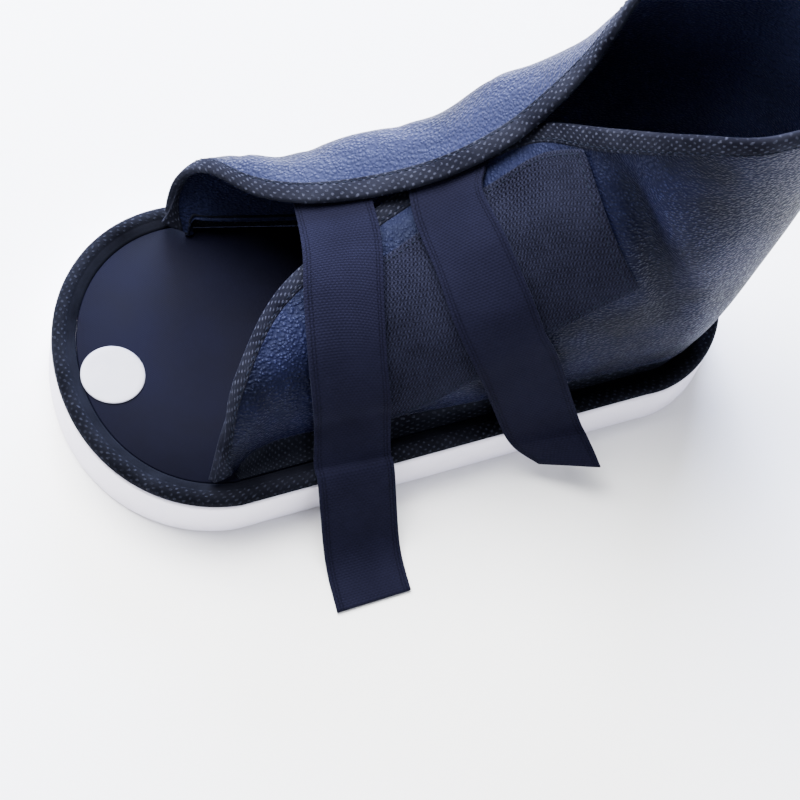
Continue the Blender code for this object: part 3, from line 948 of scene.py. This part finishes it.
@dataclass
class Upper:
    """Leather wall with its bound edge and loop patch."""

    shape: WallShape
    rows: int = 450
    columns: int = 110
    bound_rows: int = 900
    strip_height: float = 0.0085
    tucked: float = 0.0035
    patch_grid: tuple[int, int] = (170, 120)

    def build(self) -> None:
        """Make the wall, the tape, the patch and the stitches."""
        self.wall()
        self.foot_strip()
        self.binding()
        self.patch()
        self.stitches()

    def strip_top(self, row: Array) -> Array:
        """The up at which the leather's folded lower edge runs.

        Args:
            row: places round the boot.

        Returns:
            One up for each row, where the wall is a fixed height over the insole, less at both ends.
        """
        ups = np.linspace(0, 0.5, 120)
        height = self.shape.point(row[:, None], ups[None])[..., 2] - self.shape.sizes.seat
        rise = np.clip(np.minimum(row - 0.30, self.shape.last - 0.30 - row) / 1.1, 0, 1)
        target = self.strip_height * (0.12 + 0.88 * rise * rise * (3 - 2 * rise))
        return np.array([np.interp(t, h, ups) for t, h in zip(target, height)])

    def wall(self) -> None:
        """Leather: the worn surface moved half its thickness each way, its lower edge folded in a bead."""
        s, w = self.shape.sizes, self.shape
        row = np.linspace(0, w.last, self.rows)
        low, top = self.strip_top(row), w.below_edge(row, s.tape_width - self.tucked)
        share = np.concatenate([np.linspace(0, 0.035, 9)[:-1], np.linspace(0.035, 1, self.columns - 8)])
        up = low[:, None] + (top - low)[:, None] * share
        row = np.repeat(row[:, None], self.columns, 1)
        middle, normal = w.worn(row, up), w.normal(row, up)
        bead = np.where(share < 0.012, np.sqrt(np.clip(1 - (1 - share / 0.012) ** 2, 0, 1)), 1)
        swell = 1 + 0.45 * np.exp(-((share - 0.012) / 0.009) ** 2)
        swell = swell - 0.35 * np.exp(-((share - 0.030) / 0.006) ** 2)
        half = s.leather / 2 * (0.3 + 0.7 * bead) * swell
        sides = [middle + normal * (half * k)[None, :, None] for k in (1, -1)]
        verts, quads, uv = sleeve(*sides, np.stack([row * 0.02, up * 0.12], -1))
        piece = make_piece("leather_wall", verts, quads, uv, Leather().build(), "upper")
        # Fold height at each point; the leather reads it to paint shade in folds and highlight on ridges.
        relief = w.relief(FOLDS, row, up) + w.relief(CREASES, row, up)
        values = np.concatenate([relief, relief[:, ::-1]], 1).astype(np.float32)
        piece.data.attributes.new("Relief", "FLOAT", "POINT").data.foreach_set("value", values.ravel())

    def foot_strip(self) -> None:
        """Dark cloth band from behind the leather's lower edge out and down to the rim, hollow in between.

        Its middle is a straight blend from the wall to the sole's outline, drawn in by the rim, less a
        half sine of the height between them.
        """
        s, w = self.shape.sizes, self.shape
        row, share = np.linspace(0, w.last, 520), np.linspace(0, 1, 16)[None, :, None]
        high_up = self.strip_top(row) * 1.20 + 0.010
        high = w.point(row, high_up) - w.normal(row, high_up) * s.leather * 0.6
        inset = s.rim_width + 2 * s.gap
        base_x = spline(WALL, row)[:, 0]
        base_x = np.where(base_x > 0, base_x * (s.half_length - inset), base_x * s.half_length)
        side = np.where(row <= (w.last - 1) / 2, -1, 1)
        low = np.stack([base_x, side * w.half_width(base_x, inset), np.full(base_x.shape, s.seat)], -1)
        middle = high[:, None] + (low - high)[:, None] * share
        middle[..., 2] -= 0.22 * (high - low)[:, None, 2] * np.sin(np.pi * share[..., 0])
        normal = unit(np.cross(np.gradient(middle, axis=0), np.gradient(middle, axis=1)))
        normal *= np.where(normal[..., 2:] < 0, -1, 1)
        sides = [middle + normal * away for away in (0.0005, -0.0003)]
        for side in sides:
            side[..., 2] = np.maximum(side[..., 2], s.seat - 0.0003)
        across = np.linalg.norm(low - high, axis=1)[:, None] * share[..., 0]
        verts, quads, uv = sleeve(*sides, np.stack(np.broadcast_arrays((row * 0.02)[:, None], across), -1))
        piece = make_piece("foot_strip", verts, quads, uv, STRIP_CLOTH.build(), "upper")

    def binding(self) -> None:
        """Edge tape: a section with a thin lip, a sewn groove and a rolled rim, carried round the edge."""
        s, w = self.shape.sizes, self.shape
        row = np.linspace(0, w.last, self.bound_rows)
        low = w.below_edge(row, s.tape_width)
        share = 1 - np.cos(np.linspace(0, np.pi, 22))
        share = share / 2
        up = low[:, None] + (1 - low)[:, None] * share
        rows = np.repeat(row[:, None], 22, 1)
        half = s.tape_thickness / 2 * (0.66 + 0.34 * np.sin(np.pi * np.clip(share, 0, 1)) ** 0.7)
        half = half - 0.00035 * np.exp(-((share - 0.17) / 0.05) ** 2)
        half = half * np.sqrt(np.clip(1 - np.clip((share - 0.86) / 0.14, 0, 1) ** 2, 0, 1))
        half = half * (0.70 + 0.30 * np.clip(share / 0.06, 0, 1))
        middle, normal = w.point(rows, up), w.normal(rows, up)
        sides = [middle + normal * (half * k)[None, :, None] for k in (1, -1)]
        for side in sides:
            side[..., 2] = np.maximum(side[..., 2], s.seat - 0.0003)
        run = np.concatenate([[0], np.cumsum(np.linalg.norm(np.diff(middle[:, 11], axis=0), axis=1))])
        across = np.cumsum(np.concatenate([[0], np.diff(share) * s.tape_width]))
        uv = np.stack(np.broadcast_arrays(run[:, None], across[None]), -1)
        verts, quads, uv = sleeve(*sides, uv)
        make_piece("edge_tape", verts, quads, uv, EDGE_TAPE.build(), "edge_binding")

    def patch_place(self, across: Array, upward: Array) -> tuple[Array, Array]:
        """Row and up of a place on the patch: straight blends of its four corners.

        Args:
            across: 0 at the toe side, 1 at the heel side.
            upward: 0 at the low edge, 1 at the high edge.

        Returns:
            Row and up.
        """
        low = PATCH[0] + (PATCH[1] - PATCH[0]) * across[..., None]
        high = PATCH[2] + (PATCH[3] - PATCH[2]) * across[..., None]
        place = low + (high - low) * upward[..., None]
        return place[..., 0] - PATCH_HOLLOW * across * np.sin(np.pi * upward), place[..., 1]

    def patch(self) -> None:
        """Loop patch: the wall's surface under it, lifted, with a rounded cut edge."""
        s, w = self.shape.sizes, self.shape
        wide, high = self.patch_grid
        across, upward = np.meshgrid(np.linspace(0, 1, wide), np.linspace(0, 1, high), indexing="ij")
        row, up = self.patch_place(across, upward)
        half = s.patch / 2 * np.minimum(rounded(wide, 0.02)[:, None], rounded(high, 0.03)[None])
        lift = s.leather / 2 + s.gap + s.patch / 2 + s.patch_ease * 0.35
        middle, normal = w.point(row, up), w.normal(row, up)
        sides = [middle + normal * (lift + k * half)[..., None] for k in (1, -1)]
        run = np.cumsum(np.linalg.norm(np.diff(middle, axis=0, prepend=middle[:1]), axis=2), axis=0)
        rise = np.cumsum(np.linalg.norm(np.diff(middle, axis=1, prepend=middle[:, :1]), axis=2), axis=1)
        verts, quads, uv = sleeve(*sides, np.stack([run, rise], -1))
        piece = make_piece("patch_cloth", verts, quads, uv, LOOP_FABRIC.build(), "loop_patch")

    def stitches(self) -> None:
        """Thread along the edge tape's groove and round the patch."""
        s, w = self.shape.sizes, self.shape
        thread = THREAD.build()
        row = np.linspace(0.15, w.last - 0.15, 2400)
        up = w.below_edge(row, s.tape_width * 0.83)
        lift = s.tape_thickness / 2 * 0.80
        sew("edge_stitches", w.point(row, up), w.normal(row, up), lift, thread)
        t = np.linspace(0.02, 0.98, 300)
        one = np.ones(300)
        across = np.concatenate([t, one * 0.975, t[::-1], one * 0.03])
        upward = np.concatenate([one * 0.035, t, one * 0.965, t[::-1]])
        row, up = self.patch_place(across, upward)
        lift = s.leather / 2 + s.gap + s.patch + s.patch_ease * 0.35
        sew("patch_stitches", w.point(row, up), w.normal(row, up), lift, thread)


def along_path(data: Array, run: Array, at: Array) -> Array:
    """Points or normals of a path read at given lengths along it.

    Args:
        data: values at the path's points.
        run: length at each point.
        at: where to read.

    Returns:
        Array of at by 3.
    """
    return np.stack([np.interp(at, run, data[:, k]) for k in range(3)], -1)


def sew(name: str, path: Array, normal: Array, lift: float, material: bpy.types.Material,
        pitch: float = 0.0031, length: float = 0.0023, radius: float = 0.00032) -> bpy.types.Object:
    """Row of stitches: each is a flat-ended spindle, round across and bowed along its length.

    Args:
        name: the piece's name.
        path: points along the seam.
        normal: the cloth's normals there.
        lift: height over the path.
        material: thread finish.
        pitch: from stitch to stitch.
        length: of one stitch.
        radius: of the thread.

    Returns:
        The piece.
    """
    run = np.concatenate([[0], np.cumsum(np.linalg.norm(np.diff(path, axis=0), axis=1))])
    centre = np.arange(pitch, run[-1] - pitch, pitch)
    share = np.linspace(-1, 1, 7)
    at = centre[:, None] + share[None] * length / 2
    spine = along_path(path, run, at.ravel()).reshape(len(centre), 7, 3)
    face = unit(along_path(normal, run, centre))[:, None]
    along = unit(spine[:, -1:] - spine[:, :1])
    side = np.cross(face, along)
    bow = (1 - share**2)[None, :, None]
    spine = spine + face * (lift + radius * (1.1 * bow - 0.7))
    thick = radius * (0.25 + 0.75 * np.sqrt(np.clip(1 - share**2, 0, 1)))[None, :, None, None]
    turn = np.linspace(0, 2 * np.pi, 6, endpoint=False)
    sine, cosine = np.sin(turn)[None, None, :, None], np.cos(turn)[None, None, :, None]
    ring = face[:, :, None] * sine + side[:, :, None] * cosine
    verts = spine[:, :, None] + ring * thick
    quads = grid_faces(7, 6, False, True)
    caps = np.array([[0, 1, 2, 3], [0, 3, 4, 5], [39, 38, 37, 36], [41, 40, 39, 36]])
    quads = np.concatenate([quads, caps])
    every = (quads[None] + np.arange(len(centre))[:, None, None] * 42).reshape(-1, 4)
    uv = np.stack(np.broadcast_arrays(at[:, :, None], turn[None, None] * radius), -1)
    return make_piece(name, verts, every, uv, material, None)


@dataclass
class Strap:
    """Webbing strap from under the outer flap, over the wall, to a free cut end."""

    shape: WallShape
    name: str
    node: str
    slot: str
    places: Array
    ways: Array
    finish: Cloth
    columns: int = 26
    steps: int = 18
    ripple: float = 0.00022
    shares: Array = field(init=False)

    def __post_init__(self) -> None:
        """Places across the webbing, closer together at its edges."""
        self.shares = -np.cos(np.linspace(0, np.pi, self.columns)) / 2

    def on_wall(self, away: Array) -> Array:
        """Columns of the strap where it crosses the wall.

        Args:
            away: height over the wall's middle at each place.

        Returns:
            Points, places by columns by 3: each column is the wall's point whose row and up solve
            row change x (dP/drow) + up change x (dP/dup) = the step across the strap.
        """
        w, width = self.shape, self.shape.sizes.strap_width
        row, up, side = self.places.T
        step = 0.02
        lift = (side * away)[:, None]
        centre = w.smooth(row, up) + w.normal(row, up) * lift
        by_row = (w.smooth(row + step, up) - w.smooth(row - step, up)) / (2 * step)
        by_up = (w.smooth(row, up + step) - w.smooth(row, up - step)) / (2 * step)
        across = unit(np.cross(w.normal(row, up), np.gradient(centre, axis=0)))
        basis = np.stack([by_row, by_up], -1)
        per_metre = np.einsum("pij,pj->pi", np.linalg.pinv(basis), across)
        change = per_metre[:, None] * (self.shares * width)[None, :, None]
        rows, ups = row[:, None] + change[..., 0], up[:, None] + change[..., 1]
        return w.smooth(rows, ups) + w.normal(rows, np.minimum(ups, 1)) * lift[..., None]

    def build(self) -> None:
        """Lay the strap: wall columns, then straight columns over the rim and along the free end.

        Its middle is the spline through all columns, moved half its thickness each way, with slow ripples.
        """
        s = self.shape.sizes
        under = s.tape_thickness / 2 + s.gap + s.strap / 2 + s.strap_ease
        above = max(under, s.leather / 2 + s.patch + 2 * s.gap + s.patch_ease + s.strap / 2 + s.strap_ease)
        wall = self.on_wall(np.where(self.places[:, 2] > 0, above, under))
        last = wall[-1].mean(0)
        rim_y = -float(self.shape.half_width(last[0], 0))
        over, ground = s.rim_top + s.gap + s.strap / 2, s.strap / 2
        beyond, shift, height, swing, roll, tuck = self.ways.T
        middle = np.stack([last[0] + shift * s.strap_width, rim_y - beyond * s.strap_width,
                           ground + (over - ground) * height], -1)
        aim = unit(np.stack([np.ones(len(swing)), -swing, roll], -1))
        share = 0.5 - (0.5 - self.shares[None]) * (1 - tuck[:, None])
        free = middle[:, None] + aim[:, None] * (share * s.strap_width)[..., None]
        table = np.concatenate([wall, free])
        place = np.linspace(0, len(table) - 1, self.steps * (len(table) - 1) + 1)
        cloth = spline(table, place)
        normal = unit(np.cross(np.gradient(cloth, axis=1), np.gradient(cloth, axis=0)))
        half = s.strap / 2 * rounded(self.columns, 0.03)
        spine = cloth[:, self.columns // 2]
        run = np.cumsum(np.linalg.norm(np.diff(spine, axis=0, prepend=spine[:1]), axis=1))
        ripple = self.ripple * wobble(run[:, None] / 0.03, self.shares[None] * 0.8, 5)
        cloth = cloth + normal * ripple[..., None]
        sides = [cloth + normal * (half * k)[None, :, None] for k in (1, -1)]
        for side in sides:
            side[..., 2] = np.maximum(side[..., 2], 0.0)
        uv = np.stack(np.broadcast_arrays(run[:, None], (self.shares * s.strap_width)[None]), -1)
        verts, quads, uv = sleeve(*sides, uv)
        piece = make_piece(self.name, verts, quads, uv, self.finish.build(), self.node)


@dataclass(frozen=True)
class Lamp:
    """Soft square light: its name, place, width, watts and tint."""

    name: str
    place: tuple[float, float, float]
    size: float
    power: float
    colour: Colour


@dataclass
class Studio:
    """Pale floor, soft lights and the camera."""

    azimuth: float = -31.4
    elevation: float = 61.07
    roll: float = -19.9
    distance: float = 1.0
    lens: float = 109.35
    target: tuple[float, float, float] = (0.00019, -0.02182, 0.0)
    sky: tuple[float, float, float, float] = (0.93, 0.95, 1.0, 1)
    sky_strength: float = 0.60
    floor_reach: float = 4.0
    floor_height: float = -0.0002
    lamps: tuple[Lamp, ...] = (
        Lamp("overhead", (-0.35, 0.75, 1.30), 1.4, 185.0, (1.0, 1.0, 1.0)),
        Lamp("back", (0.34, 1.30, 0.40), 0.9, 180.0, (0.58, 0.66, 1.0)),
        Lamp("front", (0.25, -1.20, 0.45), 0.5, 5.0, (0.85, 0.88, 1.0)),
    )

    def build(self) -> None:
        """Make everything round the boot."""
        self.floor()
        for lamp in self.lamps:
            self.light(lamp)
        world = bpy.data.worlds.new("studio")
        world.use_nodes = True
        background = world.node_tree.nodes["Background"]
        background.inputs[0].default_value, background.inputs[1].default_value = self.sky, self.sky_strength
        bpy.context.scene.world = world
        self.camera()

    def floor(self) -> None:
        """Plain pale floor, a wide sheet just under the sole."""
        mesh = bpy.data.meshes.new("floor")
        reach, z = self.floor_reach, self.floor_height
        mesh.from_pydata([(x * reach, y * reach, z) for x, y in ((-1, -1), (1, -1), (1, 1), (-1, 1))], [],
                         [(0, 1, 2, 3)])
        n = Nodes("floor")
        n.dress(Base_Color=(0.96, 0.96, 0.96, 1), Roughness=0.8)
        mesh.materials.append(n.material)
        floor = bpy.data.objects.new("floor", mesh)
        bpy.context.collection.objects.link(floor)

    def light(self, lamp: Lamp) -> None:
        """Hang one soft light, aimed at the boot.

        Args:
            lamp: what it is like.
        """
        data = bpy.data.lights.new(lamp.name, "AREA")
        data.size, data.energy, data.color = lamp.size, lamp.power, lamp.colour
        light = bpy.data.objects.new(lamp.name, data)
        light.matrix_world = self.aimed(np.array(lamp.place), np.array((0.0, 0.0, 0.06)), 0.0)
        bpy.context.collection.objects.link(light)

    @staticmethod
    def aimed(place: Array, target: Array, roll: float) -> Matrix:
        """Pose whose -Z axis runs from a place to a target, its up axis turned by roll.

        Args:
            place: where it stands.
            target: what it looks at.
            roll: radians by which its right axis leaves the level.

        Returns:
            The pose's matrix.
        """
        back = unit(place - target)
        right = unit(np.cross((0.0, 0.0, 1.0), back))
        up = np.cross(back, right)
        right, up = right * np.cos(roll) - up * np.sin(roll), right * np.sin(roll) + up * np.cos(roll)
        rows = np.eye(4)
        rows[:3, 0], rows[:3, 1], rows[:3, 2], rows[:3, 3] = right, up, back, place
        return Matrix(rows.tolist())

    def camera(self) -> None:
        """Camera at the picture's angle: the target plus the distance along the two angles' direction."""
        a, e = np.radians((self.azimuth, self.elevation))
        back = np.array([np.sin(a) * np.cos(e), -np.cos(a) * np.cos(e), np.sin(e)])
        target = np.array(self.target)
        lens = bpy.data.cameras.new("camera")
        lens.lens, lens.sensor_width, lens.dof.use_dof = self.lens, 36.0, False
        camera = bpy.data.objects.new("camera", lens)
        camera.matrix_world = self.aimed(target + back * self.distance, target, np.radians(self.roll))
        bpy.context.collection.objects.link(camera)
        bpy.context.scene.camera = camera


def main() -> None:
    """Build the boot's pieces in order, then the studio round it."""
    logging.basicConfig(level=logging.INFO, format="%(name)s %(message)s")
    shape = WallShape(Sizes())
    Sole(shape).build()
    Upper(shape).build()
    Strap(shape, "front_webbing", "front_strap", "webbing_front", FRONT_STRAP, FRONT_END, WEBBING).build()
    Strap(shape, "rear_webbing", "rear_strap", "webbing_rear", REAR_STRAP, REAR_END, WEBBING).build()
    Studio().build()


if __name__ == "__main__":
    main()
